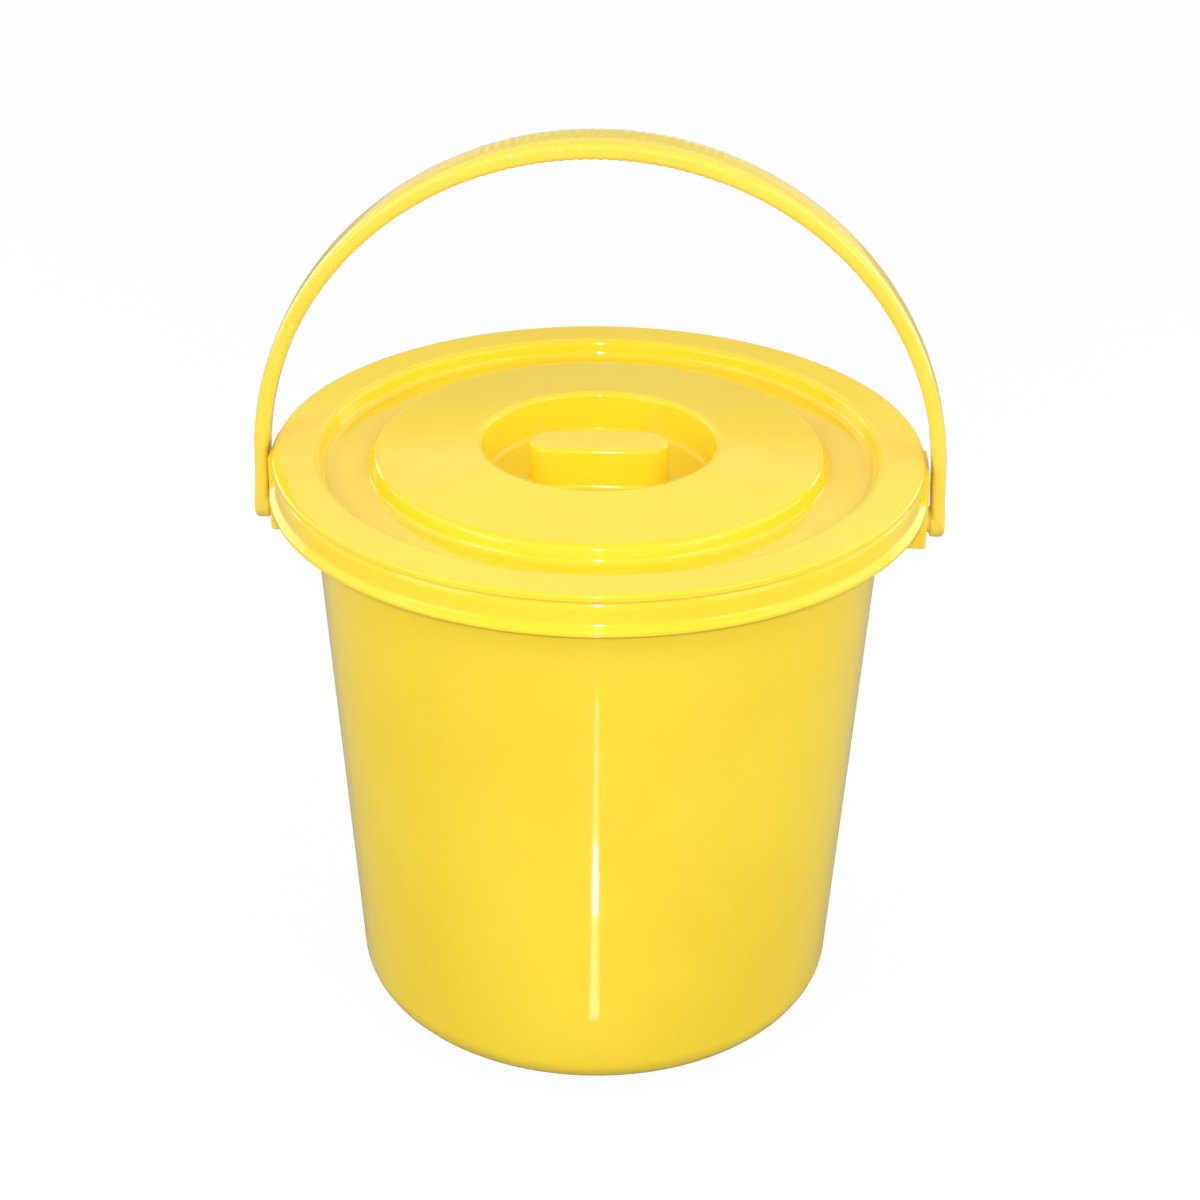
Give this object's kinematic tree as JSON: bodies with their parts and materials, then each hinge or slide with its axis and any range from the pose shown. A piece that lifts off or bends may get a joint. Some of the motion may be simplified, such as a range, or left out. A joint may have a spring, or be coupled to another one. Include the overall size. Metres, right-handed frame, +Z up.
{
  "type": "bucket with lid",
  "caption": "Round tapered plastic bucket with a turned-down rim, a loose lid with a grip bar in its finger well, and a swinging ribbed bail handle.",
  "frame": {"origin": "middle of the base, on the surface that the bucket stands on", "axes": "+Z up out of the mouth, +X through the right ear along the bail's pivot axis, +Y to the back"},
  "size_m": [0.3002, 0.2838, 0.4004],
  "materials": {
    "yellow_polypropylene": "glossy"
  },
  "bodies": {
    "bucket_body": {"bucket": "yellow_polypropylene", "lid": "yellow_polypropylene"},
    "bail": {"bail_handle": "yellow_polypropylene"}
  },
  "joints": [
    {"name": "bail_swing", "type": "hinge", "parent": "bucket_body", "child": "bail", "pos_m": [0, 0, 0.2314], "axis": [1, 0, 0], "range_deg": [-129, 129]}
  ]
}
